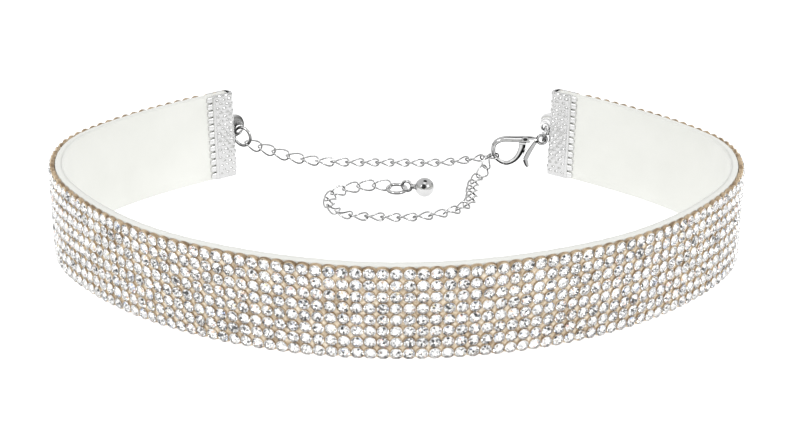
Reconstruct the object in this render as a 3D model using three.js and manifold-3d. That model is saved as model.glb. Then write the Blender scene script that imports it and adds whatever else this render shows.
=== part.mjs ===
import * as THREE from "three";
import { mergeVertices } from "three/addons/utils/BufferGeometryUtils.js";
import Module from "manifold-3d";

const wasm = await Module();
wasm.setup();

// A choker: a stone-set ribbon on a soft lining, a ribbon crimp at each end, a curb chain with a
// lobster clasp, and the loose end of the chain with a ball.
// Sizes are in millimetres and angles in degrees. +X is to the right seen from the front, +Y goes
// from the front of the neck to the back, +Z is up. The choker stands on its lower edge.

const up = new THREE.Vector3(0, 0, 1);
const back = new THREE.Vector3(0, 1, 0);
const right = new THREE.Vector3(1, 0, 0);
const clearance = 0.15;

// Ribbon
const bandHeight = 19.2;
const bandHalfLength = 150.8;
const bandSlide = 1.7; // how far the middle of the ribbon stands to the right of the front centre
const liningThickness = 1.7;
const liningChamfer = 0.35;
const wallBend = 8.2; // most that a flat of the wall turns from its neighbour
const flatColumns = 4; // most columns of stones along a flat of the wall
const meshThickness = 0.35;
const stoneColumns = 124;
const stoneRows = 8;
const stoneRise = 0.95;
const tableShare = 0.62; // half diagonal of a stone's table, as a share of half its cell

// The line on which the lower edge stands, from the front centre to one end. A stretch's share is
// its part of the ribbon's half length. The other half is the mirror image, and the last stretch
// goes on as far as it is needed.
const restStretches = [
  { name: "front", share: 0.5, turn: 57.7 },
  { name: "side", share: 0.163, turn: 40.4 },
  { name: "bend", share: 0.075, turn: 26 },
  { name: "back", share: 0.124, turn: 13.1 },
  { name: "end", share: 0.2, turn: 10.6 },
];

// How far the wall leans outwards at its top, by share of the half length from the front centre
const leanStations = [
  { share: 0, lean: 8 },
  { share: 0.265, lean: 5.5 },
  { share: 0.53, lean: 0.5 },
  { share: 0.763, lean: 2 },
  { share: 1.03, lean: 3 },
];

// Ribbon crimps
const sheet = 0.5;
const crimpHeight = 19.6;
const crimpLift = 0.1;
const crimpFoldRadius = 0.9;
const leafWidth = 5;
const toothLength = 1.65;
const toothCount = 12;
const earRadius = 2.6;
const earBeyondFold = 0.5;
const earHeight = 11;
const earHoleRadius = 1.05;
const earHoleBeyondFold = 1.45;
const earHoleBelow = 0.7; // how far the hole's middle is below the ear's middle

// Rings
const ringWire = 0.7;
const ringRadius = 2.1;
const ringSegments = 12;
const wireSides = 5;
const leftRingHeading = -28; // the ring's plane, turned about +Z from the plane of X and Z
const leftRingSwing = 34; // how far the ring hangs towards the chain
const claspRingRadius = 1.55;
const claspRingSwing = 12;
const wireDrop = 0.1; // how far a ring's wire sits below the middle of its ear's hole

// Curb chain
const linkWire = 0.45;
const linkLength = 4.65;
const linkWidth = 3.3;
const linkTwistShare = 0.6; // rise of the twist, as a share of half the width
const linkSegments = 10;
const linkSides = 5;
const mainLinks = 17;
const tailLinks = 23;

// Lobster clasp, drawn in its own plane: u to the right and v up from the middle of its opening.
// Its lists hold shares of claspLength, which is about the length without the end loop.
const claspLength = 10;
const claspDepth = 2.1;
const claspSlot = 1.3;
const leverDepth = 0.9;
const endLoop = { u: 8, v: 2.65, radius: 1.15, wire: 0.6 };
const claspPivot = { u: 3.9, v: 1 };
const pivotPinRadius = 0.3;
const pivotHoleRadius = 0.5;
const leverBossRadius = 0.85;
const mouthCut = { u: -0.8, v: 0.6 };
const slotCut = { top: 0.245, span: 0.9 };
const bowRoot = { left: 0.8, above: 0.3, width: 1, depth: 1.1 }; // set off from the end loop's middle
const bowStations = [
  { u: 0.59, v: 0.325, width: 0.13, depth: 0.18 },
  { u: 0.44, v: 0.34, width: 0.15, depth: 0.21 },
  { u: 0.16, v: 0.345, width: 0.145, depth: 0.2 },
  { u: -0.07, v: 0.315, width: 0.14, depth: 0.18 },
  { u: -0.235, v: 0.22, width: 0.125, depth: 0.15 },
  { u: -0.31, v: 0.095, width: 0.1, depth: 0.115 },
  { u: -0.325, v: -0.04, width: 0.085, depth: 0.1 },
  { u: -0.285, v: -0.16, width: 0.085, depth: 0.105 },
  { u: -0.205, v: -0.25, width: 0.09, depth: 0.12 },
  { u: -0.095, v: -0.302, width: 0.12, depth: 0.11 },
];
const cheekOutline = [
  { u: 0.29, v: 0.36 },
  { u: 0.29, v: 0.14 },
  { u: 0.315, v: 0.035 },
  { u: 0.39, v: 0.005 },
  { u: 0.415, v: -0.15 },
  { u: 0.48, v: -0.17 },
  { u: 0.54, v: 0.01 },
  { u: 0.61, v: 0.16 },
  { u: 0.65, v: 0.31 },
];
const leverBlade = [
  { u: 0.375, v: 0.07 },
  { u: 0.35, v: -0.09 },
  { u: 0.375, v: -0.195 },
  { u: 0.505, v: -0.335 },
  { u: 0.46, v: -0.375 },
  { u: 0.32, v: -0.275 },
  { u: 0.23, v: -0.265 },
  { u: 0.09, v: -0.33 },
  { u: -0.002, v: -0.342 },
  { u: -0.1, v: -0.268 },
  { u: 0.01, v: -0.252 },
  { u: 0.13, v: -0.205 },
  { u: 0.22, v: -0.11 },
  { u: 0.27, v: -0.01 },
  { u: 0.31, v: 0.09 },
];

// Middle of the first link: its angle below the level of the ring's middle, how far it is beyond
// the ring's wire and how far behind the ring's plane
const firstLink = { angle: -42.3, beyond: 0.9, behind: 0.98, roll: 48 };

// Middle of the link that holds the left side of the bow, in the plane of the clasp
const heldLink = { u: -3.92, v: -0.98, w: 0.4, roll: -15 };

// Ball on the loose end
const ballRadius = 2.1;
const ballCentre = { x: 5.9, y: 80.6 };
const eyeCentre = { x: 1.85, y: 82.35, z: 1.28 };
const tailRing = { x: -0.2, y: 82.6, z: 1.1, tilt: 13 };
const eyeRadius = 0.95;
const eyeWire = 0.44;
const neckRadius = 0.35;

// Middle of the chain between its two ends; lift is the height of a link's underside.
const mainRoute = [
  { x: -29.4, y: 96.2, lift: 3.4 },
  { x: -25.5, y: 97.1, lift: 1.85 },
  { x: -21.5, y: 97.8, lift: 0.8 },
  { x: -18, y: 98.3, lift: 0.25 },
  { x: -14.5, y: 98.7, lift: 0.05 },
  { x: -7.5, y: 98.9, lift: 0.03 },
  { x: 0, y: 98.9, lift: 0.03 },
  { x: 7, y: 98.8, lift: 0.06 },
  { x: 12, y: 98.4, lift: 0.5 },
  { x: 16.4, y: 97.9, lift: 1.3 },
];

// Roll of the links about the chain, by share of the loose end
const tailRolls = [
  { at: 0, roll: -72 },
  { at: 0.045, roll: -27 },
  { at: 0.09, roll: 0 },
  { at: 0.68, roll: 0 },
  { at: 0.955, roll: 38 },
  { at: 1, roll: 37 },
];

// The loose end as it lies on the ground, from the clasp to the last link
const tailRoute = [
  { x: 20.06, y: 94.4, lift: 1.42 },
  { x: 18.97, y: 91.4, lift: 0.3 },
  { x: 17.2, y: 87.6, lift: 0.14 },
  { x: 16.3, y: 82.5, lift: 0.04 },
  { x: 16.1, y: 78, lift: 0.04 },
  { x: 15.2, y: 73.8, lift: 0.04 },
  { x: 13, y: 70.4, lift: 0.04 },
  { x: 9.6, y: 67.9, lift: 0.04 },
  { x: 5, y: 66.1, lift: 0.04 },
  { x: 0, y: 65.5, lift: 0.04 },
  { x: -5, y: 65.9, lift: 0.04 },
  { x: -9.9, y: 66.6, lift: 0.04 },
  { x: -13.2, y: 69.2, lift: 0.04 },
  { x: -14.7, y: 73.4, lift: 0.04 },
  { x: -13.9, y: 77.9, lift: 0.04 },
  { x: -10.9, y: 81.2, lift: 0.06 },
  { x: -7.2, y: 82.8, lift: 0.1 },
  { x: -3.5, y: 83.15, lift: 0.12 },
];

const crimpReach = leafWidth + toothLength;
const meshHalfLength = bandHalfLength - crimpReach - 2 * clearance;
const liningHalfLength = bandHalfLength - sheet - 2 * clearance;
const liningOuter = -clearance;
const liningInner = liningOuter - liningThickness;
const crimpInner = liningInner - clearance - sheet;
const crimpOuter = liningOuter + clearance + sheet;
const earMiddle = (crimpInner + crimpOuter) / 2;
const earHoleHeight = earHeight - earHoleBelow;
const columnPitch = (2 * meshHalfLength) / stoneColumns;

const radians = THREE.MathUtils.degToRad;

// Position and heading of the rest line at a distance from the front centre.
function restPoint(distance) {
  let heading = 0;
  let x = 0;
  let y = 0;
  let left = distance;
  restStretches.forEach((stretch, i) => {
    const last = i === restStretches.length - 1;
    const length = stretch.share * bandHalfLength;
    const run = last ? left : Math.min(left, length);
    const bend = radians(stretch.turn) / length;
    const next = heading + run * bend;
    x += (Math.sin(next) - Math.sin(heading)) / bend;
    y += (Math.cos(heading) - Math.cos(next)) / bend;
    heading = next;
    left -= run;
  });
  return { x, y, heading };
}

function leanAt(distance) {
  const at = distance / bandHalfLength;
  const after = leanStations.findIndex((station) => station.share >= at);
  const b = leanStations[after < 0 ? leanStations.length - 1 : Math.max(after, 1)];
  const a = leanStations[leanStations.indexOf(b) - 1];
  const blend = THREE.MathUtils.smoothstep(at, a.share, b.share);
  return radians(THREE.MathUtils.lerp(a.lean, b.lean, blend));
}

// A point of the wall: s along the ribbon from the front centre, h up the wall and o outwards.
// The lower edge stands flat on the ground at every o.
function wallPoint(s, h, o) {
  const side = s < 0 ? -1 : 1;
  const rest = restPoint(Math.abs(s));
  const lean = leanAt(Math.abs(s));
  const out = h * Math.sin(lean) + o * Math.cos(lean);
  return new THREE.Vector3(
    side * (rest.x + Math.sin(rest.heading) * out),
    rest.y - Math.cos(rest.heading) * out,
    h * Math.cos(lean) - (o * Math.sin(lean) * h) / bandHeight,
  );
}

// A wall point by distance beyond the fold of the left (-1) or right (1) crimp.
function endPoint(end, beyond, h, o) {
  return wallPoint(bandSlide + end * (bandHalfLength + beyond), h, o);
}

function columnPlace(column) {
  return bandSlide - meshHalfLength + column * columnPitch;
}

// Columns of stones at which the flat walls bend, closer together where the rest line turns.
function wallColumns() {
  const heading = (column) => {
    const s = columnPlace(column);
    return Math.sign(s) * restPoint(Math.abs(s)).heading;
  };
  const columns = [0];
  while (columns.at(-1) < stoneColumns) {
    const from = columns.at(-1);
    let next = Math.min(from + flatColumns, stoneColumns);
    while (next > from + 1 && heading(next) - heading(from) > radians(wallBend)) next -= 1;
    columns.push(next);
  }
  return columns;
}

function toGeometry(points, index) {
  const geometry = new THREE.BufferGeometry().setFromPoints(points);
  geometry.setIndex(index);
  return geometry;
}

// Skin over sections that go round their direction of travel counter-clockwise.
function loft(sections, closed) {
  const count = sections.length;
  const size = sections[0].length;
  const index = [];
  const spans = closed ? count : count - 1;
  for (let i = 0; i < spans; i += 1) {
    const a = i * size;
    const b = ((i + 1) % count) * size;
    for (let j = 0; j < size; j += 1) {
      const k = (j + 1) % size;
      index.push(a + j, a + k, b + k);
      index.push(a + j, b + k, b + j);
    }
  }
  if (!closed) {
    const end = (count - 1) * size;
    for (let j = 1; j < size - 1; j += 1) {
      index.push(0, j + 1, j);
      index.push(end, end + j, end + j + 1);
    }
  }
  return toGeometry(sections.flat(), index);
}

function turned(centre, first, second, radius, angle) {
  return centre
    .clone()
    .addScaledVector(first, radius * Math.cos(angle))
    .addScaledVector(second, radius * Math.sin(angle));
}

function fullTurn(count) {
  return Array.from({ length: count }, (_, i) => (2 * Math.PI * i) / count);
}

// Round wire along a closed run of points; the axis is about square to the run everywhere.
function wireLoop(points, axis, wire, sides) {
  const count = points.length;
  const sections = points.map((point, i) => {
    const along = points[(i + 1) % count].clone().sub(points[(i + count - 1) % count]);
    along.normalize();
    const first = axis.clone().addScaledVector(along, -axis.dot(along)).normalize();
    const second = along.clone().cross(first);
    return fullTurn(sides).map((angle) => turned(point, first, second, wire / 2, angle));
  });
  return loft(sections, true);
}

// A round ring in the plane of two square directions.
function ring(centre, first, second, radius, wire, segments = ringSegments) {
  const points = fullTurn(segments).map((angle) => turned(centre, first, second, radius, angle));
  return wireLoop(points, first.clone().cross(second), wire, wireSides);
}

const linkReach = (linkLength - linkWire) / 2;
const linkSpread = (linkWidth - linkWire) / 2;
const linkTwist = linkSpread * linkTwistShare;

// Middle line of a curb link: an oval whose two long sides twist to opposite faces.
function linkPoint(angle) {
  return new THREE.Vector3(
    linkReach * Math.cos(angle),
    linkSpread * Math.sin(angle),
    linkTwist * Math.sin(2 * angle),
  );
}

// Height of a rolled link's middle above its underside.
function linkRise(roll) {
  const heights = fullTurn(linkSegments).map((angle) => {
    const point = linkPoint(angle);
    return Math.abs(point.y * Math.sin(roll) + point.z * Math.cos(roll));
  });
  return Math.max(...heights) + linkWire / 2;
}

function curbLink(link) {
  const along = link.along.clone().normalize();
  const level = up.clone().addScaledVector(along, -up.dot(along)).normalize();
  const normal = turned(new THREE.Vector3(), level, along.clone().cross(level), 1, link.roll);
  const frame = new THREE.Matrix4().makeBasis(along, normal.clone().cross(along), normal);
  frame.setPosition(link.centre);
  const points = fullTurn(linkSegments).map((angle) => linkPoint(angle).applyMatrix4(frame));
  return wireLoop(points, normal, linkWire, linkSides);
}

// Links set evenly along the curve that their undersides follow.
function chain(points, count, rollAt) {
  const curve = new THREE.CatmullRomCurve3(points);
  curve.arcLengthDivisions = 2000;
  const rolls = Array.from({ length: count }, (_, i) => rollAt(i / (count - 1)));
  const centres = curve
    .getSpacedPoints(count - 1)
    .map((point, i) => point.addScaledVector(up, linkRise(rolls[i])));
  return centres.map((centre, i) => {
    const before = centres[Math.max(i - 1, 0)];
    const after = centres[Math.min(i + 1, count - 1)];
    return { centre, along: after.clone().sub(before), roll: rolls[i] };
  });
}

function toSolid(geometry) {
  const bare = new THREE.BufferGeometry();
  bare.setAttribute("position", geometry.getAttribute("position").clone());
  if (geometry.index) bare.setIndex(geometry.index.clone());
  const merged = mergeVertices(bare, 1e-4);
  return new wasm.Manifold(
    new wasm.Mesh({
      numProp: 3,
      vertProperties: new Float32Array(merged.getAttribute("position").array),
      triVerts: new Uint32Array(merged.index.array),
    }),
  );
}

function fromSolid(solid) {
  const mesh = solid.getMesh();
  const geometry = new THREE.BufferGeometry();
  geometry.setAttribute("position", new THREE.BufferAttribute(mesh.vertProperties, mesh.numProp));
  geometry.setIndex(new THREE.BufferAttribute(mesh.triVerts, 1));
  return geometry;
}

function join(...geometries) {
  return fromSolid(geometries.map(toSolid).reduce((all, next) => all.add(next)));
}

function cut(geometry, ...tools) {
  return fromSolid(tools.map(toSolid).reduce((rest, next) => rest.subtract(next), toSolid(geometry)));
}

function common(a, b) {
  return fromSolid(toSolid(a).intersect(toSolid(b)));
}

// A plate from an outline in the plane of its first two directions, centred on its depth.
function plate(outline, depth) {
  const shape = new THREE.Shape(outline.map(([x, y]) => new THREE.Vector2(x, y)));
  const geometry = new THREE.ExtrudeGeometry(shape, { depth, bevelEnabled: false, steps: 1 });
  return geometry.translate(0, 0, -depth / 2);
}

function roundOutline(x, y, radius, count) {
  return fullTurn(count).map((angle) => [x + radius * Math.cos(angle), y + radius * Math.sin(angle)]);
}

function lining() {
  const section = [
    { h: 0, o: liningInner },
    { h: bandHeight - liningChamfer, o: liningInner },
    { h: bandHeight, o: liningInner + liningChamfer },
    { h: bandHeight, o: liningOuter },
    { h: 0, o: liningOuter },
  ];
  const ends = [bandSlide - liningHalfLength, bandSlide + liningHalfLength];
  const places = [ends[0], ...wallColumns().map(columnPlace), ends[1]];
  return loft(places.map((s) => section.map(({ h, o }) => wallPoint(s, h, o))), false);
}

// The ribbon's outer layer: one cell for each stone, with four corners at the level of the mesh,
// eight facets and a square table turned by 45 degrees.
function stoneMesh() {
  const points = [];
  const index = [];
  const rowPitch = bandHeight / stoneRows;
  const place = (column, row, o) =>
    points.push(wallPoint(columnPlace(column), row * rowPitch, o)) - 1;
  const face = (...corners) => index.push(...corners);
  const grid = [];
  for (let i = 0; i <= stoneColumns; i += 1) {
    grid.push(Array.from({ length: stoneRows + 1 }, (_, j) => place(i, j, meshThickness)));
  }
  const rise = meshThickness + stoneRise;
  const half = tableShare / 2;
  for (let i = 0; i < stoneColumns; i += 1) {
    for (let j = 0; j < stoneRows; j += 1) {
      const [a, b, c, d] = [grid[i][j], grid[i + 1][j], grid[i + 1][j + 1], grid[i][j + 1]];
      const south = place(i + 0.5, j + 0.5 - half, rise);
      const east = place(i + 0.5 + half, j + 0.5, rise);
      const north = place(i + 0.5, j + 0.5 + half, rise);
      const west = place(i + 0.5 - half, j + 0.5, rise);
      face(a, b, south);
      face(b, east, south);
      face(b, c, east);
      face(c, north, east);
      face(c, d, north);
      face(d, west, north);
      face(d, a, west);
      face(a, south, west);
      face(south, east, north);
      face(south, north, west);
    }
  }
  const flats = wallColumns().map((i) => ({ i, lower: place(i, 0, 0), upper: place(i, stoneRows, 0) }));
  flats.slice(1).forEach((b, n) => {
    const a = flats[n];
    face(a.lower, a.upper, b.lower);
    face(a.upper, b.upper, b.lower);
    face(a.lower, b.lower, grid[b.i][0]);
    face(a.upper, grid[b.i][stoneRows], b.upper);
    for (let i = a.i; i < b.i; i += 1) {
      face(a.lower, grid[i + 1][0], grid[i][0]);
      face(a.upper, grid[i][stoneRows], grid[i + 1][stoneRows]);
    }
  });
  const start = { ...flats[0], edge: grid[0] };
  const end = { ...flats.at(-1), edge: grid[stoneColumns] };
  for (let j = 0; j < stoneRows; j += 1) {
    face(start.lower, start.edge[j], start.edge[j + 1]);
    face(end.lower, end.edge[j + 1], end.edge[j]);
  }
  face(start.lower, start.edge[stoneRows], start.upper);
  face(end.lower, end.upper, end.edge[stoneRows]);
  return toGeometry(points, index);
}

// A crimp before it is set on the wall: x beyond the fold, y up the wall, z outwards.
function crimpBlank() {
  const round = crimpFoldRadius;
  const corner = (o, side) =>
    [0, 30, 60, 90].map((angle) => [
      -round + round * Math.sin(radians(angle)),
      o - side * round * (1 - Math.cos(radians(angle))),
    ]);
  const profile = [
    [-crimpReach, crimpInner],
    ...corner(crimpInner, -1),
    ...corner(crimpOuter, 1).reverse(),
    [-crimpReach, crimpOuter],
    [-crimpReach, crimpOuter - sheet],
    [-sheet, crimpOuter - sheet],
    [-sheet, crimpInner + sheet],
    [-crimpReach, crimpInner + sheet],
  ];
  const folded = plate(profile.map(([x, o]) => [x, -o]).reverse(), crimpHeight);
  folded.rotateX(-Math.PI / 2).translate(0, crimpLift + crimpHeight / 2, 0);

  const pitch = crimpHeight / toothCount;
  const comb = [[1, crimpLift]];
  comb.push([1, crimpLift + crimpHeight]);
  comb.push([-leafWidth, crimpLift + crimpHeight]);
  for (let i = toothCount - 1; i >= 0; i -= 1) {
    const middle = crimpLift + (i + 0.5) * pitch;
    comb.push([-crimpReach, middle]);
    comb.push([-leafWidth, middle - pitch / 2]);
  }
  const depth = crimpOuter - crimpInner + 2 * sheet;
  const toothed = common(folded, plate(comb, depth).translate(0, 0, earMiddle));

  const tab = plate(roundOutline(earBeyondFold, earHeight, earRadius, 20), sheet);
  const trim = new THREE.BoxGeometry(2 * earRadius, 3 * earRadius, 2 * sheet);
  trim.translate(-earRadius - sheet / 2, earHeight, 0);
  const hole = plate(roundOutline(earHoleBeyondFold, earHoleHeight, earHoleRadius, 12), 2 * sheet);
  const ear = cut(tab, trim, hole).translate(0, 0, earMiddle);
  return join(toothed, ear);
}

// A crimp set on the left (-1) or right (1) end of the ribbon.
function crimp(end) {
  const geometry = crimpBlank();
  const position = geometry.getAttribute("position");
  for (let i = 0; i < position.count; i += 1) {
    const point = endPoint(end, position.getX(i), position.getY(i), position.getZ(i));
    position.setXYZ(i, point.x, point.y, point.z);
  }
  if (end < 0) geometry.index.array.reverse();
  return geometry;
}

const leftHole = endPoint(-1, earHoleBeyondFold, earHoleHeight - wireDrop, earMiddle);
const rightHole = endPoint(1, earHoleBeyondFold, earHoleHeight - wireDrop, earMiddle);

const leftAcross = right.clone().applyAxisAngle(up, radians(leftRingHeading));
const leftSwing = radians(leftRingSwing) - Math.PI / 2;
const leftRingCentre = turned(leftHole, leftAcross, up, ringRadius, leftSwing);

const claspAcross = up.clone().applyAxisAngle(back, radians(claspRingSwing));
const claspRingCentre = rightHole.clone().addScaledVector(claspAcross, -claspRingRadius);
const claspRingFoot = rightHole.clone().addScaledVector(claspAcross, -2 * claspRingRadius);
const loopSlack = endLoop.radius - endLoop.wire / 2 - ringWire / 2 - clearance;

// The clasp stands in an upright plane square to +Y; w points to the front.
const claspCentre = new THREE.Vector3(
  claspRingFoot.x - endLoop.u,
  claspRingFoot.y,
  claspRingFoot.z - loopSlack - endLoop.v,
);
const claspFrame = new THREE.Matrix4()
  .makeBasis(right, up, back.clone().negate())
  .setPosition(claspCentre);

function claspPoint({ u, v }, w = 0) {
  return new THREE.Vector3(u, v, w).applyMatrix4(claspFrame);
}

// The bow of the clasp, in its own plane: rounded sections from the end loop to the mouth.
function bow() {
  const root = { ...bowRoot, u: endLoop.u - bowRoot.left, v: endLoop.v + bowRoot.above };
  const scaled = bowStations.map(({ u, v, width, depth }) => ({
    u: u * claspLength,
    v: v * claspLength,
    width: width * claspLength,
    depth: depth * claspLength,
  }));
  const stations = [root, ...scaled];
  const last = stations.length - 1;
  const sections = stations.map(({ u, v, width, depth }, i) => {
    const before = stations[Math.max(i - 1, 0)];
    const after = stations[Math.min(i + 1, last)];
    const along = new THREE.Vector3(after.u - before.u, after.v - before.v, 0).normalize();
    const out = new THREE.Vector3(-along.y, along.x, 0);
    const across = i === last ? new THREE.Vector3(mouthCut.u, mouthCut.v, 0).negate() : out.negate();
    const front = new THREE.Vector3(0, 0, 1);
    const centre = new THREE.Vector3(u, v, 0);
    return fullTurn(8).map((angle) =>
      centre
        .clone()
        .addScaledVector(front, (depth / 2) * Math.cos(angle + Math.PI / 8))
        .addScaledVector(across, (width / 2) * Math.sin(angle + Math.PI / 8)),
    );
  });
  return loft(sections, false);
}

function claspOutline(list) {
  return list.map(({ u, v }) => [u * claspLength, v * claspLength]);
}

function claspBody() {
  const cheeks = plate(claspOutline(cheekOutline), claspDepth);
  const span = slotCut.span * claspLength;
  const slot = new THREE.BoxGeometry(span, span, claspSlot);
  slot.translate(claspPivot.u, slotCut.top * claspLength - span / 2, 0);
  const pin = plate(roundOutline(claspPivot.u, claspPivot.v, pivotPinRadius, 8), claspDepth);
  const loop = ring(
    new THREE.Vector3(endLoop.u, endLoop.v, 0),
    new THREE.Vector3(1, 0, 0),
    new THREE.Vector3(0, 1, 0),
    endLoop.radius,
    endLoop.wire,
  );
  return join(cut(cheeks, slot), bow(), pin, loop).applyMatrix4(claspFrame);
}

function claspLever() {
  const boss = plate(roundOutline(claspPivot.u, claspPivot.v, leverBossRadius, 14), leverDepth);
  const blade = plate(claspOutline(leverBlade).reverse(), leverDepth);
  const hole = plate(roundOutline(claspPivot.u, claspPivot.v, pivotHoleRadius, 10), claspDepth);
  return cut(join(boss, blade), hole).applyMatrix4(claspFrame);
}

const heldCentre = claspPoint(heldLink, heldLink.w);

const firstCentre = turned(
  leftRingCentre,
  leftAcross,
  up,
  ringRadius + firstLink.beyond,
  radians(firstLink.angle),
).addScaledVector(leftAcross.clone().cross(up), -firstLink.behind);

const underside = (centre, roll) => centre.clone().addScaledVector(up, -linkRise(roll));
const stops = (route) => route.map(({ x, y, lift }) => new THREE.Vector3(x, y, lift));

const mainRoll = (share) =>
  radians(firstLink.roll) * (1 - THREE.MathUtils.smoothstep(share, 0, 0.5)) +
  radians(heldLink.roll) * THREE.MathUtils.smoothstep(share, 0.9, 1);
const mainEnds = [underside(firstCentre, mainRoll(0)), underside(heldCentre, mainRoll(1))];
const mainChain = chain([mainEnds[0], ...stops(mainRoute), mainEnds[1]], mainLinks, mainRoll);

const tailRoll = (share) => {
  const next = tailRolls.findIndex((row) => row.at > share);
  const b = tailRolls[next < 0 ? tailRolls.length - 1 : next];
  const a = tailRolls[tailRolls.indexOf(b) - 1];
  return radians(THREE.MathUtils.mapLinear(share, a.at, b.at, a.roll, b.roll));
};
const tailChain = chain(stops(tailRoute), tailLinks, tailRoll);

const tailRingCentre = new THREE.Vector3(tailRing.x, tailRing.y, tailRing.z);
const tailRingBack = back.clone().applyAxisAngle(right, radians(tailRing.tilt));

// The ball on the ground, its neck and the eye round the last ring
function ball() {
  const centre = new THREE.Vector3(ballCentre.x, ballCentre.y, ballRadius);
  const eyeMiddle = new THREE.Vector3(eyeCentre.x, eyeCentre.y, eyeCentre.z);
  const reach = centre.distanceTo(eyeMiddle) - eyeRadius;
  const towards = eyeMiddle.clone().sub(centre).normalize();
  const sphere = new THREE.SphereGeometry(ballRadius, 12, 7).rotateX(Math.PI / 2);
  sphere.translate(centre.x, centre.y, centre.z);
  const neck = new THREE.CylinderGeometry(neckRadius, neckRadius, reach, 8);
  neck.applyQuaternion(new THREE.Quaternion().setFromUnitVectors(back, towards));
  const middle = centre.clone().addScaledVector(towards, reach / 2);
  neck.translate(middle.x, middle.y, middle.z);
  const lift = up.clone().addScaledVector(towards, -up.dot(towards)).normalize();
  const eye = ring(eyeMiddle, towards, lift, eyeRadius, eyeWire, 10);
  return join(sphere, neck, eye);
}

const look = {
  suede: { color: 0xf0f1ec, roughness: 0.95, metalness: 0 },
  stones: { color: 0xb9a58c, roughness: 0.25, metalness: 0.2 },
  steel: { color: 0xc4c6c8, roughness: 0.2, metalness: 1 },
};

const choker = new THREE.Group();
choker.name = "choker_necklace";

function addPart(name, geometry, material) {
  const mesh = new THREE.Mesh(geometry, new THREE.MeshStandardMaterial(material));
  mesh.name = name;
  choker.add(mesh);
}

addPart("suede_band", lining(), look.suede);
addPart("stone_mesh", stoneMesh(), look.stones);
addPart("ribbon_crimp_left", crimp(-1), look.steel);
addPart("ribbon_crimp_right", crimp(1), look.steel);
addPart("jump_ring_left", ring(leftRingCentre, leftAcross, up, ringRadius, ringWire), look.steel);
mainChain.forEach((link, i) => {
  addPart(`chain_link_${String(i + 1).padStart(2, "0")}`, curbLink(link), look.steel);
});
addPart(
  "jump_ring_right",
  ring(claspRingCentre, claspAcross, back, claspRingRadius, ringWire),
  look.steel,
);
addPart("clasp_body", claspBody(), look.steel);
addPart("clasp_lever", claspLever(), look.steel);
tailChain.forEach((link, i) => {
  addPart(`tail_link_${String(i + 1).padStart(2, "0")}`, curbLink(link), look.steel);
});
addPart("jump_ring_tail", ring(tailRingCentre, right, tailRingBack, ringRadius, ringWire), look.steel);
addPart("end_ball", ball(), look.steel);

// The origin is below the middle of the whole outline, on the ground.
const box = new THREE.Box3().setFromObject(choker);
const middle = box.getCenter(new THREE.Vector3());
choker.children.forEach((mesh) => {
  mesh.geometry.translate(-middle.x, -middle.y, -box.min.z);
  mesh.geometry.computeVertexNormals();
});

export default choker;
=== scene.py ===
import math

import bpy
import numpy as np
from mathutils import Matrix, Vector


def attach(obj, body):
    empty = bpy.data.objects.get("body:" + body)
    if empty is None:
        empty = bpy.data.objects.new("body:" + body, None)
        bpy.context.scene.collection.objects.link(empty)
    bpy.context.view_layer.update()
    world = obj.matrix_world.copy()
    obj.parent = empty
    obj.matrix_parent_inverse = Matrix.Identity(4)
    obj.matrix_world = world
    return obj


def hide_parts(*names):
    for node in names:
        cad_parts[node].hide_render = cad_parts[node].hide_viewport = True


# A choker: a stone-set ribbon on a soft lining, ribbon crimps, a curb chain with a lobster clasp
# and a loose end with a ball. Shapes are worked out in millimetres in the frame in which the front
# centre of the rest line is the origin, and set in the row frame in metres by to_row.
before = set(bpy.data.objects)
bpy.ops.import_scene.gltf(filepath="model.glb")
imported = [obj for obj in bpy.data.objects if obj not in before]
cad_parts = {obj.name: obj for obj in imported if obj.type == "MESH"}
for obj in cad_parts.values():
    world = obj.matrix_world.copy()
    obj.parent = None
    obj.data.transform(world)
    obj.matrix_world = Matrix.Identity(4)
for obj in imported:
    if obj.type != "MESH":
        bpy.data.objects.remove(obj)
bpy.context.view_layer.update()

MM = 0.001
ORIGIN = np.array([0.009, 48.297, -0.005])  # the row frame's origin, in mm
UP = np.array([0, 0, 1.0])
SEED = 20
rng = np.random.default_rng(SEED)

BAND_HEIGHT = 19.2
HALF_LENGTH = 150.8
BAND_SLIDE = 1.7  # from the front centre to the ribbon's middle, to the right
# Each stretch of the rest line: its share of the half length and its turn in degrees
REST_STRETCHES = [(0.5, 57.7), (0.163, 40.4), (0.075, 26), (0.124, 13.1), (0.2, 10.6)]
# Places as shares of the half length, and the wall's outward lean there in degrees
LEAN_STATIONS = [(0, 8), (0.265, 5.5), (0.53, 0.5), (0.763, 2), (1.03, 3)]


# The wall that the ribbon stands in: s along it from the front, h up it and o outwards


def unit(v):
    v = np.asarray(v, float)
    return v / np.linalg.norm(v, axis=-1, keepdims=True)


def rest_point(distance):
    """Place and heading of the rest line at distances from the front centre."""
    left = np.array(distance, float)
    heading = np.zeros_like(left)
    x = np.zeros_like(left)
    y = np.zeros_like(left)
    for i, (share, turn) in enumerate(REST_STRETCHES):
        length = share * HALF_LENGTH
        bend = math.radians(turn) / length
        run = left if i == len(REST_STRETCHES) - 1 else np.minimum(left, length)
        after = heading + run * bend
        x = x + (np.sin(after) - np.sin(heading)) / bend
        y = y + (np.cos(heading) - np.cos(after)) / bend
        heading = after
        left = left - run
    return x, y, heading


def lean_at(distance):
    """The wall's lean in radians, eased from one station to the next."""
    at = np.asarray(distance, float) / HALF_LENGTH
    places = np.array([place for place, _ in LEAN_STATIONS])
    leans = np.array([lean for _, lean in LEAN_STATIONS], float)
    i = np.clip(np.searchsorted(places, at), 1, len(places) - 1)
    t = np.clip((at - places[i - 1]) / (places[i] - places[i - 1]), 0, 1)
    t = t * t * (3 - 2 * t)
    return np.radians(leans[i - 1] + (leans[i] - leans[i - 1]) * t)


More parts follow.
